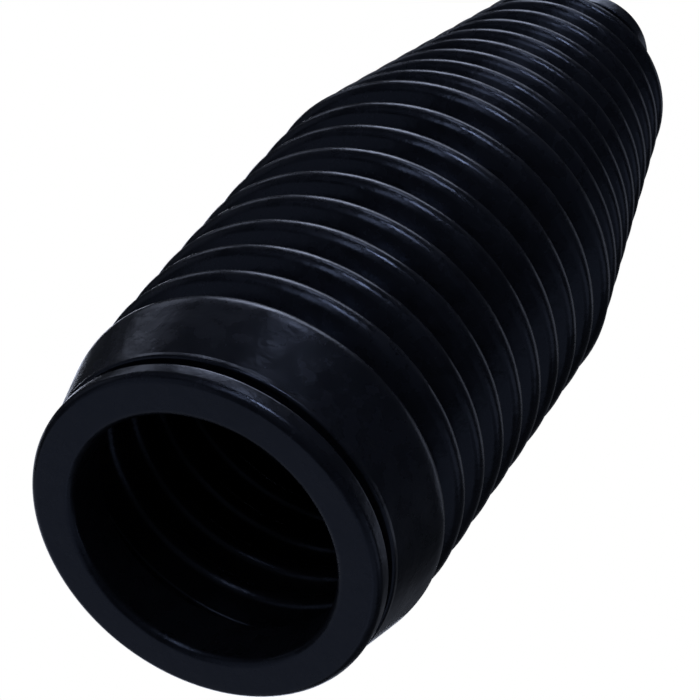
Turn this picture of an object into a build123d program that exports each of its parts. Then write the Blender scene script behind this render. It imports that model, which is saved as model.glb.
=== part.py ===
from build123d import *
import math
import os

# Rubber bellows boot, moulded in one piece and turned about +Z.
# It stands on the flat end of its large cuff, at Z = 0. All sizes are in millimetres.

# ---------------------------------------------------------------- driving dimensions
# Large cuff: a thick ring with a straight bore, a lip and a clamp groove behind the lip
large_bore_radius = 21.0
large_bore_length = 9.0
large_bore_chamfer = 0.6
lip_radius = 28.0
lip_length = 3.8
lip_front_round = 2.4
lip_back_chamfer = 0.5
large_groove_radius = 26.0
large_groove_width = 1.2

# Shoulder: a cone from the clamp groove out to the first crest, hollow behind a step
shoulder_radius = 28.2
shoulder_round = 8.0
shoulder_wall = 2.0

# Bellows: equal convolutions first, then closer ones that taper to the small end
first_crest_height = 17.5
crest_radius = 30.5
equal_crests = 10
equal_pitch = 7.6
equal_depth = 4.8
equal_round = 2.0
taper_crests = 9
taper_pitch = 6.3
taper_depth = 3.8
taper_round = 1.7
last_crest_radius = 19.1
crest_wall = 1.3
pocket_land = 1.2
valley_wall = 1.6
ridge_land = 0.8

# Nose and small cuff: a steep cone down to a sleeve with a clamp groove near its open end
nose_length = 5.0
nose_fillet = 2.5
small_cuff_radius = 10.0
small_cuff_length = 13.0
small_bore_radius = 7.5
small_bore_length = 13.6
small_bore_chamfer = 0.6
small_rim_length = 3.0
small_rim_chamfer = 0.6
small_groove_radius = 9.0
small_groove_width = 5.0

# ---------------------------------------------------------------- sizes that follow
large_groove_end = lip_length + large_groove_width
crest_drop = (crest_radius - last_crest_radius) / taper_crests
last_equal_height = first_crest_height + (equal_crests - 1) * equal_pitch
last_crest_height = last_equal_height + taper_crests * taper_pitch
neck_height = last_crest_height + nose_length
top_height = neck_height + small_cuff_length
small_groove_end = top_height - small_rim_length
small_groove_start = small_groove_end - small_groove_width


def crest_list():
    """Radius, height and rounding of every crest, from the large end up."""
    equal = [
        (crest_radius, first_crest_height + i * equal_pitch, equal_round)
        for i in range(equal_crests)
    ]
    taper = [
        (crest_radius - i * crest_drop, last_equal_height + i * taper_pitch, taper_round)
        for i in range(1, taper_crests + 1)
    ]
    return equal + taper


def valley_list(crests):
    """Radius and height of the valley above each crest but the last."""
    valleys = []
    for i, (below, above) in enumerate(zip(crests, crests[1:])):
        depth = equal_depth if i + 1 < equal_crests else taper_depth
        valleys.append(((below[0] + above[0]) / 2 - depth, (below[1] + above[1]) / 2))
    return valleys


def flank_angle(crest, foot):
    """Angle to the axis of the straight flank from foot that just touches the crest's round."""
    radius, height, rounding = crest
    rise = radius - rounding - foot[0]
    run = abs(foot[1] - height)
    return math.atan2(rise, run) + math.asin(rounding / math.hypot(rise, run))


def crest_corners(crest, foot):
    """The two corners from a crest to the flank from foot: its round is cut as equal flats."""
    radius, height, rounding = crest
    side = math.copysign(1, foot[1] - height)
    # The land, the bevel and the flank each turn by half the flank's angle from the one before
    half_turn = flank_angle(crest, foot) / 4
    reach = rounding / math.cos(half_turn)
    corners = []
    for turn in (half_turn, 3 * half_turn):
        across = reach * math.cos(turn) - rounding
        corners.append((radius + across, height + side * reach * math.sin(turn)))
    return corners


def outer_folds(crests, valleys, neck):
    """Points up the outside: a crest rounded by flats, a straight flank, a sharp valley."""
    points = [crests[0][:2]]
    for crest, valley, above in zip(crests, valleys, crests[1:]):
        points += crest_corners(crest, valley) + [valley]
        points += reversed(crest_corners(above, valley))
    return points + crest_corners(crests[-1], neck)


def inner_folds(crests, valleys):
    """Points up the inside: a pocket behind each crest and a ridge behind each valley."""
    flats = [(crests[0][0] - crest_wall, crests[0][1], pocket_land)]
    for valley, crest in zip(valleys, crests[1:]):
        flats.append((valley[0] - valley_wall, valley[1], ridge_land))
        flats.append((crest[0] - crest_wall, crest[1], pocket_land))
    points = []
    for radius, height, land in flats:
        points += [(radius, height - land / 2), (radius, height + land / 2)]
    return points


def boot_section():
    """Half section of the boot, with the radius along X and the height along Z."""
    crests = crest_list()
    valleys = valley_list(crests)
    neck = (small_cuff_radius, neck_height)
    outside = outer_folds(crests, valleys, neck)
    inside = inner_folds(crests, valleys)

    large_mouth = (large_bore_radius + large_bore_chamfer, 0)
    round_start = (lip_radius - lip_front_round, 0)
    round_end = (lip_radius, lip_front_round)
    shoulder_foot = (shoulder_radius, large_groove_end)
    shoulder_angle = flank_angle((crest_radius, first_crest_height, shoulder_round), shoulder_foot)
    shoulder_top = (
        crest_radius - shoulder_round * (1 - math.cos(shoulder_angle)),
        first_crest_height - shoulder_round * math.sin(shoulder_angle),
    )
    sleeve_end = (small_cuff_radius, small_groove_start)

    with BuildSketch(Plane.XZ) as section:
        with BuildLine():
            # Flat end, rounded lip and clamp groove of the large cuff
            Line(large_mouth, round_start)
            TangentArc(round_start, round_end, tangent=(1, 0))
            Polyline(
                round_end,
                (lip_radius, lip_length - lip_back_chamfer),
                (lip_radius - lip_back_chamfer, lip_length),
                (large_groove_radius, lip_length),
                (large_groove_radius, large_groove_end),
                shoulder_foot,
                shoulder_top,
            )
            # The shoulder's cone rounds over to the first crest
            TangentArc(outside[0], shoulder_top, tangent=(0, -1))
            Polyline(*outside)
            # Nose, with a fillet where it runs into the small cuff
            FilletPolyline(outside[-1], neck, sleeve_end, radius=nose_fillet)
            # Clamp groove, end rim and bore of the small cuff
            Polyline(
                sleeve_end,
                (small_groove_radius, small_groove_start),
                (small_groove_radius, small_groove_end),
                (small_cuff_radius, small_groove_end),
                (small_cuff_radius, top_height - small_rim_chamfer),
                (small_cuff_radius - small_rim_chamfer, top_height),
                (small_bore_radius + small_bore_chamfer, top_height),
                (small_bore_radius, top_height - small_bore_chamfer),
                (small_bore_radius, top_height - small_bore_length),
                inside[-1],
            )
            # Inside of the folds, the step behind the shoulder and the large bore
            Polyline(*inside)
            Polyline(
                inside[0],
                (shoulder_radius - shoulder_wall, large_bore_length),
                (large_bore_radius, large_bore_length),
                (large_bore_radius, large_bore_chamfer),
                large_mouth,
            )
        make_face()
    return section.sketch


boot = revolve(boot_section(), axis=Axis.Z)

os.makedirs("parts", exist_ok=True)
export_step(boot, "parts/bellows_boot.step")
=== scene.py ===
import math
from collections import namedtuple

import bmesh
import bpy
from mathutils import Matrix, Vector


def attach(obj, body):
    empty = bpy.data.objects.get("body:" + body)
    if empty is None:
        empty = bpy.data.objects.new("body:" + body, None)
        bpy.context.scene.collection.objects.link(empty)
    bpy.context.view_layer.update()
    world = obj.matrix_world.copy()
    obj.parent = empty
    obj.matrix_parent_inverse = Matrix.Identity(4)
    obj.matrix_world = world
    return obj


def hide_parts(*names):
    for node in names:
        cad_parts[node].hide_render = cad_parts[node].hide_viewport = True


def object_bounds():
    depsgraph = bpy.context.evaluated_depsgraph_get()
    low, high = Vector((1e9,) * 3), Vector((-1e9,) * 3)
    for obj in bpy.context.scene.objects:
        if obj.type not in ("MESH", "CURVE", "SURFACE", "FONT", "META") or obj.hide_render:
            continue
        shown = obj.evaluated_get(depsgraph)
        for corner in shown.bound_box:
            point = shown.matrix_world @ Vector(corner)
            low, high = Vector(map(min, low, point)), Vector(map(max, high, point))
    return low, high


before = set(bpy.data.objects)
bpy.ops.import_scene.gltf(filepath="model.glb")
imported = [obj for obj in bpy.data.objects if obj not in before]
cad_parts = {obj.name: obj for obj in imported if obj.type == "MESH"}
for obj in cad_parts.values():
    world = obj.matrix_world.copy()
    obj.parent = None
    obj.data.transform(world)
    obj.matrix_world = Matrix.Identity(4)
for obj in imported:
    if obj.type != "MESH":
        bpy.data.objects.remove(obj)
cad_low, cad_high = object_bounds()

# The rubber bellows boot, turned about +Z, standing on its large cuff. One closed section carries
# the whole shape. Its sizes are in millimetres, as the CAD has them, and everything placed in
# Blender is in metres. A name that ends in ROUND is the radius of a rounded edge or corner.
MM = 0.001

# ---------------------------------------------------------------- section of the boot
# Large cuff, with the step behind its bore
LARGE_BORE_RADIUS = 21.0
LARGE_BORE_LENGTH = 9.0
LARGE_BORE_ROUND = 1.4
STEP_EDGE_ROUND = 0.2
STEP_CORNER_ROUND = 0.5
LIP_RADIUS = 28.0
LIP_LENGTH = 3.8
LIP_FRONT_ROUND = 1.4
LIP_BACK_ROUND = 0.8
LARGE_GROOVE_RADIUS = 26.0
LARGE_GROOVE_WIDTH = 1.2

# Shoulder: a short straight band, then a cone that rounds over into the first crest
SHOULDER_RADIUS = 28.2
SHOULDER_WALL = 2.0
SHOULDER_ROUND = 8.0
SHOULDER_FOOT_LAND = 1.1
SHOULDER_FOOT_ROUND = 0.5

# Folds: equal ones first, then ones whose crests shrink evenly to the last
FIRST_CREST_HEIGHT = 17.5
CREST_RADIUS = 30.5
EQUAL_CRESTS = 10
EQUAL_PITCH = 7.6
EQUAL_DEPTH = 4.8
EQUAL_ROUND = 2.0
TAPER_CRESTS = 9
TAPER_PITCH = 6.3
TAPER_DEPTH = 3.8
TAPER_ROUND = 1.7
LAST_CREST_RADIUS = 19.1
VALLEY_ROUND = 0.4

# Inside of the folds: a pocket behind each crest and a ridge behind each valley
CREST_WALL = 1.3
POCKET_LAND = 1.2
POCKET_ROUND = 0.7
VALLEY_WALL = 1.6
RIDGE_ROUND = 2.0

# Nose and small cuff
NOSE_LENGTH = 5.0
NOSE_FILLET = 2.5
NOSE_POCKET_ROUND = 0.8
SMALL_CUFF_RADIUS = 10.0
SMALL_CUFF_LENGTH = 13.0
SMALL_BORE_RADIUS = 7.5
SMALL_BORE_LENGTH = 13.6
SMALL_BORE_ROUND = 0.6
SMALL_RIM_LENGTH = 3.0
SMALL_RIM_ROUND = 0.7
SMALL_GROOVE_RADIUS = 9.0
SMALL_GROOVE_WIDTH = 5.0

# Corners of both clamp grooves
GROOVE_CORNER_ROUND = 0.3

# Fineness of the mesh: steps round the axis, the most that one step of an arc turns, and the
# fewest steps in a rounded corner
STEPS_AROUND = 140
DEGREES_PER_STEP = 22
SHOULDER_DEGREES_PER_STEP = 3
FEWEST_STEPS = 2

# The rounding of a corner that is a point of an arc already
NO_ROUND = 0

# ---------------------------------------------------------------- surface of the rubber
# Noises: features per metre, and levels of finer detail
CLOUD_NOISE = (60, 5)
SPECK_NOISE = (350, 4)
GRAIN_NOISE = (1500, 3)
DENT_NOISE = (220, 2)

# The mottle is clouds mixed with specks. Colour and sheen change between its low and high value.
SPECK_SHARE = 0.5
MOTTLE_LOW = 0.3
MOTTLE_HIGH = 0.7
COLOUR_LOW = (0.006, 0.0068, 0.0095, 1)
COLOUR_HIGH = (0.0155, 0.0168, 0.0235, 1)
ROUGHNESS_LOW = 0.17
ROUGHNESS_HIGH = 0.36
SPECULAR_LEVEL = 0.5
SPECULAR_TINT = (0.62, 0.73, 1, 1)

# Bumps: strength, and depth in metres
GRAIN_BUMP = (0.15, 0.0002)
DENT_BUMP = (0.22, 0.0006)

# ---------------------------------------------------------------- camera, at the reference view
# It looks along +Y and up by the rise, and is then rolled about its line of sight. Place, rise, roll
# and lens are the ones that lay the crests' outlines over those of the reference.
CAMERA_PLACE = Vector((-0.0004, -0.34903, -0.34964))
CAMERA_RISE = math.radians(49.105)
CAMERA_ROLL = math.radians(38.46)
CAMERA_LENS = 176.39
CAMERA_NEAR = 0.01

ACROSS = Vector((1, 0, 0))
CAMERA_FORWARD = Vector((0, math.cos(CAMERA_RISE), math.sin(CAMERA_RISE)))
LEVEL_UP = Vector((0, -math.sin(CAMERA_RISE), math.cos(CAMERA_RISE)))
CAMERA_RIGHT = ACROSS * math.cos(CAMERA_ROLL) + LEVEL_UP * math.sin(CAMERA_ROLL)
CAMERA_UP = LEVEL_UP * math.cos(CAMERA_ROLL) - ACROSS * math.sin(CAMERA_ROLL)

# ---------------------------------------------------------------- lights and surroundings
LIGHT_COLOUR = (0.76, 0.82, 1)
LIGHT_AIM = (cad_low + cad_high) / 2
SOFTBOX_DISTANCE = 1

# Softboxes: name, direction in the reference view (right, up, back), width and height in metres,
# turn about its own axis in degrees, radiance
SOFTBOXES = [
    # bright lines on the crests and the patch on the shoulder
    ("overhead", (0.14, 0.85, -0.52), (0.7, 0.4), 0, 1.9),
    ("overhead_centre", (0.05, 0.86, -0.51), (0.25, 0.5), 0, 1.9),
    ("overhead_left", (-0.45, 0.68, -0.58), (0.3, 0.3), 0, 0.7),
    ("overhead_patch", (0.2, 0.97, 0.06), (0.18, 0.2), 0, 4),
    # patches on the flanks of the folds, and a trace of light in the bore
    ("front_strip", (-0.2, 0.54, 0.82), (0.15, 0.5), -32, 2.8),
    ("front_fill", (0, 0.05, 1), (0.8, 0.8), 0, 0.03),
    # left side
    ("upper_left", (-0.5, 0.7, 0.5), (0.5, 0.5), 0, 0.08),
    ("left", (-0.9, 0.4, -0.15), (0.5, 0.5), 0, 0.12),
    ("fill_left", (-0.85, -0.1, 0.5), (0.7, 0.7), 0, 0.16),
    # sheen on the flat end of the large cuff, as from a table under the boot
    ("table_left", (-0.62, -0.78, 0.07), (1.0, 1.0), 0, 0.22),
    ("table_front", (0.05, -0.92, 0.4), (0.8, 0.6), 0, 0.19),
    ("table_right", (0.6, -0.62, 0.5), (0.6, 0.6), 0, 0.12),
    # thin lines along the right edge
    ("right", (0.86, -0.46, 0.2), (0.4, 0.5), 0, 0.3),
    ("back_right", (0.8, 0.05, -0.6), (0.5, 0.5), 0, 0.35),
    # the sides that the reference view doesn't show
    ("behind_left", (-0.55, -0.3, -0.78), (0.6, 0.8), 0, 0.6),
    ("behind_below", (-0.1, -0.6, -0.79), (0.7, 0.6), 0, 0.5),
    ("behind_key", (-0.1, -0.15, -0.98), (0.4, 0.8), 0, 2.4),
    ("behind_right", (0.4, -0.3, -0.87), (0.4, 0.6), 0, 0.08),
]

# Spotlight on the small end: direction in the reference view, distance and radius in metres, cone,
# softness of the cone's edge, and watts
END_LIGHT_TOWARD = (0.25, 0.78, 0.55)
END_LIGHT_DISTANCE = 0.8
END_LIGHT_RADIUS = 0.36
END_LIGHT_CONE = math.radians(13)
END_LIGHT_BLEND = 1
END_LIGHT_POWER = 120

# Floor: half of its side in metres, its surface, and the light that it gives itself
FLOOR_HALF = 8
FLOOR_COLOUR = (0.8, 0.8, 0.8, 1)
FLOOR_ROUGHNESS = 0.9
FLOOR_GLOW = 0.4
WHITE = (1, 1, 1, 1)

# Even light from all round
GLOW_COLOUR = (0.8, 0.88, 1, 1)
GLOW_STRENGTH = 0.024

# Points of the section. A crest is the top of an arc that has the given rounding.
Point = namedtuple("Point", "radius height")
Crest = namedtuple("Crest", "radius height rounding")


def crest_list():
    """Every crest of the folds, from the large end up."""
    drop = (CREST_RADIUS - LAST_CREST_RADIUS) / TAPER_CRESTS
    last_equal = FIRST_CREST_HEIGHT + (EQUAL_CRESTS - 1) * EQUAL_PITCH
    equal = [
        Crest(CREST_RADIUS, FIRST_CREST_HEIGHT + i * EQUAL_PITCH, EQUAL_ROUND)
        for i in range(EQUAL_CRESTS)
    ]
    taper = [
        Crest(CREST_RADIUS - i * drop, last_equal + i * TAPER_PITCH, TAPER_ROUND)
        for i in range(1, TAPER_CRESTS + 1)
    ]
    return equal + taper


def valley_list(crests):
    """The point of the valley above each crest but the last, midway to the next crest."""
    valleys = []
    for i, (below, above) in enumerate(zip(crests, crests[1:])):
        depth = EQUAL_DEPTH if i + 1 < EQUAL_CRESTS else TAPER_DEPTH
        radius = (below.radius + above.radius) / 2 - depth
        valleys.append(Point(radius, (below.height + above.height) / 2))
    return valleys


def flank_angle(crest, foot):
    """Angle from the level at which the straight flank from foot touches a crest's arc."""
    rise = crest.radius - crest.rounding - foot.radius
    run = abs(foot.height - crest.height)
    return math.atan2(rise, run) + math.asin(crest.rounding / math.hypot(rise, run))


def arc(crest, start, end, step_degrees=DEGREES_PER_STEP):
    """Corners on a crest's arc, from one angle above the level to another."""
    steps = math.ceil(math.degrees(abs(end - start)) / step_degrees)
    for step in range(steps + 1):
        angle = start + (end - start) * step / steps
        radius = crest.radius - crest.rounding + crest.rounding * math.cos(angle)
        yield radius, crest.height + crest.rounding * math.sin(angle), NO_ROUND


def crest_arc(crest, below, above):
    """Corners round a crest, tangent to the flanks from the points below and above it."""
    return arc(crest, -flank_angle(crest, below), flank_angle(crest, above))


def shoulder_arc(foot, crest):
    """Corners where the shoulder's cone rounds over, up to just below the top of a crest."""
    wide = crest._replace(rounding=SHOULDER_ROUND)
    return list(arc(wide, -flank_angle(wide, foot), 0, SHOULDER_DEGREES_PER_STEP))[:-1]


def fold_outside(crests, valleys, foot, neck):
    """Corners up the outside of the folds: round crests, straight flanks and tight valleys."""
    first = crests[0]
    corners = shoulder_arc(foot, first)
    corners += arc(first, 0, flank_angle(first, valleys[0]))
    feet = valleys + [neck]
    for crest, below, above in zip(crests[1:], feet, feet[1:]):
        corners.append((*below, VALLEY_ROUND))
        corners += crest_arc(crest, below, above)
    return corners


def mirrored(point):
    """The point on the other side of the boot's axis."""
    return Point(-point.radius, point.height)


def ridge_arc(valley, below, above):
    """Corners round the ridge behind a valley, tangent to the flanks from the points beside it.

    A ridge is a crest that points at the axis, so it is worked out on the axis's other side.
    """
    ridge = Crest(VALLEY_WALL - valley.radius, valley.height, RIDGE_ROUND)
    corners = crest_arc(ridge, mirrored(below), mirrored(above))
    return [(-radius, height, rounding) for radius, height, rounding in corners]


def fold_inside(crests, valleys):
    """Corners up the inside of the folds: pockets with a straight bottom, and round ridges."""
    half = POCKET_LAND / 2
    pockets = [
        [Point(crest.radius - CREST_WALL, crest.height + up) for up in (-half, half)]
        for crest in crests
    ]
    corners = [(*point, POCKET_ROUND) for point in pockets[0]]
    for valley, below, above in zip(valleys, pockets, pockets[1:]):
        corners += ridge_arc(valley, below[1], above[0])
        corners += [(*point, POCKET_ROUND) for point in above]
    return corners


def section_corners():
    """Corners (radius, height, rounding) of the section, up the outside and down the inside."""
    crests = crest_list()
    valleys = valley_list(crests)
    groove_end = LIP_LENGTH + LARGE_GROOVE_WIDTH
    foot = Point(SHOULDER_RADIUS, groove_end + SHOULDER_FOOT_LAND)
    neck = Point(SMALL_CUFF_RADIUS, crests[-1].height + NOSE_LENGTH)
    top = neck.height + SMALL_CUFF_LENGTH
    small_groove_end = top - SMALL_RIM_LENGTH
    small_groove_start = small_groove_end - SMALL_GROOVE_WIDTH

    corners = [
        (LARGE_BORE_RADIUS, 0, LARGE_BORE_ROUND),
        (LIP_RADIUS, 0, LIP_FRONT_ROUND),
        (LIP_RADIUS, LIP_LENGTH, LIP_BACK_ROUND),
        (LARGE_GROOVE_RADIUS, LIP_LENGTH, GROOVE_CORNER_ROUND),
        (LARGE_GROOVE_RADIUS, groove_end, GROOVE_CORNER_ROUND),
        (SHOULDER_RADIUS, groove_end, SHOULDER_FOOT_ROUND),
        (*foot, SHOULDER_FOOT_ROUND),
    ]
    corners += fold_outside(crests, valleys, foot, neck)
    corners += [
        (*neck, NOSE_FILLET),
        (SMALL_CUFF_RADIUS, small_groove_start, GROOVE_CORNER_ROUND),
        (SMALL_GROOVE_RADIUS, small_groove_start, GROOVE_CORNER_ROUND),
        (SMALL_GROOVE_RADIUS, small_groove_end, GROOVE_CORNER_ROUND),
        (SMALL_CUFF_RADIUS, small_groove_end, GROOVE_CORNER_ROUND),
        (SMALL_CUFF_RADIUS, top, SMALL_RIM_ROUND),
        (SMALL_BORE_RADIUS, top, SMALL_BORE_ROUND),
        (SMALL_BORE_RADIUS, top - SMALL_BORE_LENGTH, NOSE_POCKET_ROUND),
    ]
    corners += reversed(fold_inside(crests, valleys))
    corners += [
        (SHOULDER_RADIUS - SHOULDER_WALL, LARGE_BORE_LENGTH, STEP_CORNER_ROUND),
        (LARGE_BORE_RADIUS, LARGE_BORE_LENGTH, STEP_EDGE_ROUND),
    ]
    return corners


def rounded(corners):
    """The outline with each corner replaced by an arc of its own radius, tangent to both sides."""
    outline = []
    count = len(corners)
    for i, (radius, height, rounding) in enumerate(corners):
        here = Vector((radius, height))
        if rounding == NO_ROUND:
            outline.append(here)
            continue
        back = (Vector(corners[i - 1][:2]) - here).normalized()
        ahead = (Vector(corners[(i + 1) % count][:2]) - here).normalized()
        half_angle = back.angle(ahead) / 2
        bisector = (back + ahead).normalized()
        centre = here + bisector * (rounding / math.sin(half_angle))
        start = here + back * (rounding / math.tan(half_angle)) - centre
        turn = math.pi - 2 * half_angle
        hollow = back.x * ahead.y - back.y * ahead.x > 0
        if hollow:
            turn = -turn
        steps = max(FEWEST_STEPS, math.ceil(math.degrees(abs(turn)) / DEGREES_PER_STEP))
        for step in range(steps + 1):
            arm = Matrix.Rotation(turn * step / steps, 2) @ start
            outline.append(centre + arm)
    return outline


def turned_mesh(name, outline):
    """A closed ring turned about +Z from a closed outline of (radius, height)."""
    mesh = bpy.data.meshes.new(name)
    shape = bmesh.new()
    rings = []
    for step in range(STEPS_AROUND):
        angle = 2 * math.pi * step / STEPS_AROUND
        out = Vector((math.cos(angle), math.sin(angle), 0))
        ring = [shape.verts.new((out * p.x + Vector((0, 0, p.y))) * MM) for p in outline]
        rings.append(ring)
    for step, ring in enumerate(rings):
        following = rings[(step + 1) % STEPS_AROUND]
        for i in range(len(outline)):
            j = (i + 1) % len(outline)
            shape.faces.new((ring[i], following[i], following[j], ring[j]))
    bmesh.ops.recalc_face_normals(shape, faces=shape.faces)
    for face in shape.faces:
        face.smooth = True
    shape.to_mesh(mesh)
    shape.free()
    return mesh


def added(name, data):
    """A new object in the scene, with the given mesh, lamp or camera."""
    thing = bpy.data.objects.new(name, data)
    bpy.context.scene.collection.objects.link(thing)
    return thing


def new_material(name):
    """A new material, with its nodes, its links and its main shader."""
    material = bpy.data.materials.new(name)
    material.use_nodes = True
    tree = material.node_tree
    return material, tree.nodes, tree.links, tree.nodes["Principled BSDF"]


def noise(nodes, links, place, scale, detail):
    """A noise value that depends on the place on the object."""
    texture = nodes.new("ShaderNodeTexNoise")
    texture.inputs["Scale"].default_value = scale
    texture.inputs["Detail"].default_value = detail
    links.new(place, texture.inputs["Vector"])
    return texture.outputs["Fac"]


def mixed(nodes, links, first, second, share):
    """Two values as one, the second with the given share."""
    mix = nodes.new("ShaderNodeMix")
    mix.data_type = "FLOAT"
    mix.inputs["Factor"].default_value = share
    links.new(first, mix.inputs["A"])
    links.new(second, mix.inputs["B"])
    return mix.outputs["Result"]


def bumped(nodes, links, height, strength, depth):
    """A bump node whose relief follows a height value."""
    bump = nodes.new("ShaderNodeBump")
    bump.inputs["Strength"].default_value = strength
    bump.inputs["Distance"].default_value = depth
    links.new(height, bump.inputs["Height"])
    return bump


def rubber_material():
    """Black moulded rubber: a satin sheen broken by faint bloom, small specks, dents and grain."""
    material, nodes, links, shader = new_material("moulded_rubber")
    shader.inputs["Specular IOR Level"].default_value = SPECULAR_LEVEL
    shader.inputs["Specular Tint"].default_value = SPECULAR_TINT
    place = nodes.new("ShaderNodeTexCoord").outputs["Object"]
    cloud = noise(nodes, links, place, *CLOUD_NOISE)
    specks = noise(nodes, links, place, *SPECK_NOISE)
    mottle = mixed(nodes, links, cloud, specks, SPECK_SHARE)

    tone = nodes.new("ShaderNodeValToRGB")
    low, high = tone.color_ramp.elements
    low.position, low.color = MOTTLE_LOW, COLOUR_LOW
    high.position, high.color = MOTTLE_HIGH, COLOUR_HIGH
    links.new(mottle, tone.inputs["Fac"])
    links.new(tone.outputs["Color"], shader.inputs["Base Color"])

    sheen = nodes.new("ShaderNodeMapRange")
    sheen.inputs["From Min"].default_value = MOTTLE_LOW
    sheen.inputs["From Max"].default_value = MOTTLE_HIGH
    sheen.inputs["To Min"].default_value = ROUGHNESS_LOW
    sheen.inputs["To Max"].default_value = ROUGHNESS_HIGH
    links.new(mottle, sheen.inputs["Value"])
    links.new(sheen.outputs["Result"], shader.inputs["Roughness"])

    grain = bumped(nodes, links, noise(nodes, links, place, *GRAIN_NOISE), *GRAIN_BUMP)
    dents = bumped(nodes, links, noise(nodes, links, place, *DENT_NOISE), *DENT_BUMP)
    links.new(grain.outputs["Normal"], dents.inputs["Normal"])
    links.new(dents.outputs["Normal"], shader.inputs["Normal"])
    return material


def add_boot():
    """The boot's skin, in place of the plain CAD solid."""
    mesh = turned_mesh("bellows_boot_skin", rounded(section_corners()))
    mesh.materials.append(rubber_material())
    boot = added("bellows_boot_skin", mesh)
    weigh = boot.modifiers.new("even_shading", "WEIGHTED_NORMAL")
    weigh.mode = "FACE_AREA"
    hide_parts("bellows_boot")
    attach(boot, "root")


def standing(place, across, up, back):
    """The world matrix of an object at place whose X, Y and Z lie along the three unit vectors."""
    turn = Matrix((across, up, back)).transposed()
    return Matrix.Translation(place) @ turn.to_4x4()


def add_camera():
    """The camera at the reference view: below the large cuff, looking up along the boot."""
    data = bpy.data.cameras.new("view")
    data.lens = CAMERA_LENS
    data.clip_start = CAMERA_NEAR
    camera = added("view", data)
    camera.matrix_world = standing(CAMERA_PLACE, CAMERA_RIGHT, CAMERA_UP, -CAMERA_FORWARD)
    bpy.context.scene.camera = camera


def seen(toward):
    """The unit vector for a direction (right, up, back) of the reference view."""
    right, up, back = toward
    return (CAMERA_RIGHT * right + CAMERA_UP * up - CAMERA_FORWARD * back).normalized()


def add_softbox(name, toward, size, roll, radiance):
    """A soft light that faces the boot's middle, its width level in the view and itself unseen."""
    light = bpy.data.lights.new(name, "AREA")
    light.shape = "RECTANGLE"
    light.size, light.size_y = size
    light.energy = radiance * math.pi * size[0] * size[1]
    light.color = LIGHT_COLOUR
    lamp = added(name, light)
    lamp.visible_camera = False
    away = seen(toward)
    side = seen((1, 0, 0))
    side = (side - away * side.dot(away)).normalized()
    place = LIGHT_AIM + away * SOFTBOX_DISTANCE
    turn = Matrix.Rotation(math.radians(roll), 4, "Z")
    lamp.matrix_world = standing(place, side, away.cross(side), away) @ turn


def add_end_light():
    """A soft spotlight on the small end, with a cone that leaves the large end out."""
    light = bpy.data.lights.new("small_end", "SPOT")
    light.shadow_soft_size = END_LIGHT_RADIUS
    light.spot_size = END_LIGHT_CONE
    light.spot_blend = END_LIGHT_BLEND
    light.energy = END_LIGHT_POWER
    light.color = LIGHT_COLOUR
    lamp = added("small_end", light)
    away = seen(END_LIGHT_TOWARD)
    target = Vector((LIGHT_AIM.x, LIGHT_AIM.y, cad_high.z))
    turn = away.to_track_quat("Z", "Y").to_matrix()
    lamp.matrix_world = Matrix.Translation(target + away * END_LIGHT_DISTANCE) @ turn.to_4x4()


def add_floor():
    """A pale floor that is solid from above and clear from below, where the reference view is."""
    half = FLOOR_HALF
    mesh = bpy.data.meshes.new("floor")
    corners = [(-half, -half, 0), (half, -half, 0), (half, half, 0), (-half, half, 0)]
    mesh.from_pydata(corners, [], [(0, 1, 2, 3)])
    floor = added("floor", mesh)

    material, nodes, links, shader = new_material("pale_floor")
    shader.inputs["Base Color"].default_value = FLOOR_COLOUR
    shader.inputs["Roughness"].default_value = FLOOR_ROUGHNESS
    shader.inputs["Emission Color"].default_value = WHITE
    shader.inputs["Emission Strength"].default_value = FLOOR_GLOW
    side = nodes.new("ShaderNodeNewGeometry")
    clear = nodes.new("ShaderNodeBsdfTransparent")
    choose = nodes.new("ShaderNodeMixShader")
    links.new(side.outputs["Backfacing"], choose.inputs["Fac"])
    links.new(shader.outputs["BSDF"], choose.inputs[1])
    links.new(clear.outputs["BSDF"], choose.inputs[2])
    links.new(choose.outputs["Shader"], nodes["Material Output"].inputs["Surface"])
    mesh.materials.append(material)

    # It neither shades the boot nor shows in it, or the lights below it would be cut off.
    floor.visible_shadow = False
    floor.visible_diffuse = False
    floor.visible_glossy = False


def add_world():
    """White where the camera sees it, and a dim even light everywhere else."""
    world = bpy.data.worlds.new("studio")
    bpy.context.scene.world = world
    world.use_nodes = True
    nodes = world.node_tree.nodes
    links = world.node_tree.links
    backdrop = nodes["Background"]
    backdrop.inputs["Color"].default_value = WHITE
    glow = nodes.new("ShaderNodeBackground")
    glow.inputs["Color"].default_value = GLOW_COLOUR
    glow.inputs["Strength"].default_value = GLOW_STRENGTH
    path = nodes.new("ShaderNodeLightPath")
    choose = nodes.new("ShaderNodeMixShader")
    links.new(path.outputs["Is Camera Ray"], choose.inputs["Fac"])
    links.new(glow.outputs["Background"], choose.inputs[1])
    links.new(backdrop.outputs["Background"], choose.inputs[2])
    links.new(choose.outputs["Shader"], nodes["World Output"].inputs["Surface"])


add_boot()
add_camera()
add_floor()
add_world()
for softbox in SOFTBOXES:
    add_softbox(*softbox)
add_end_light()
bpy.context.scene.view_settings.view_transform = "Standard"
